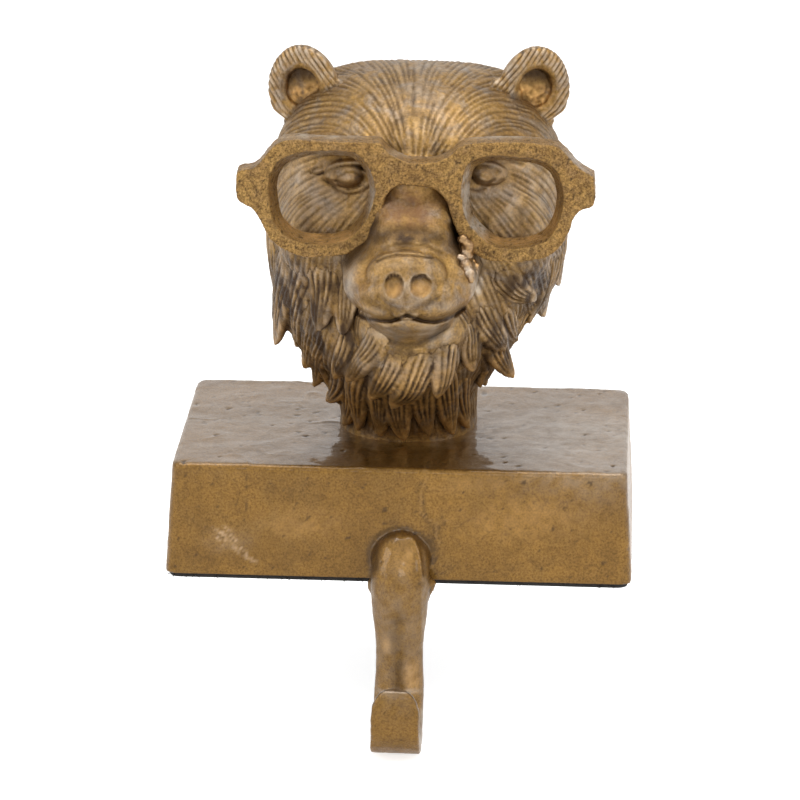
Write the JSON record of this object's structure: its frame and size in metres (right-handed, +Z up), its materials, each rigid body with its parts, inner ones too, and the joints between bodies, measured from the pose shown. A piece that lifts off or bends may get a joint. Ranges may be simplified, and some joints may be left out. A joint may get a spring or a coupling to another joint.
{
  "type": "mantel stocking holder",
  "caption": "Weighted mantel stocking holder: cast bear's head in spectacles on a drafted block, with a J hook hanging below the shelf edge.",
  "frame": {"origin": "middle of the felt's underside, which rests on the mantel shelf", "axes": "+Z up, -Y the front, where the hook hangs over the shelf's edge, +X the viewer's right"},
  "size_m": [0.11, 0.0929, 0.1557],
  "materials": {
    "block_casting": "antique brass, brushed",
    "head_casting": "antique brass, dark in the grooves",
    "spectacles_casting": "antique brass, sand-cast grain",
    "braze": "rough, copper-coloured",
    "felt": "matt",
    "screw_steel": "plain"
  },
  "bodies": {
    "root": {"base_casting": "block_casting", "bear_head": "head_casting", "spectacles": "spectacles_casting", "braze_bead": "braze", "felt_pad": "felt", "neck_screw": "screw_steel"}
  },
  "joints": []
}
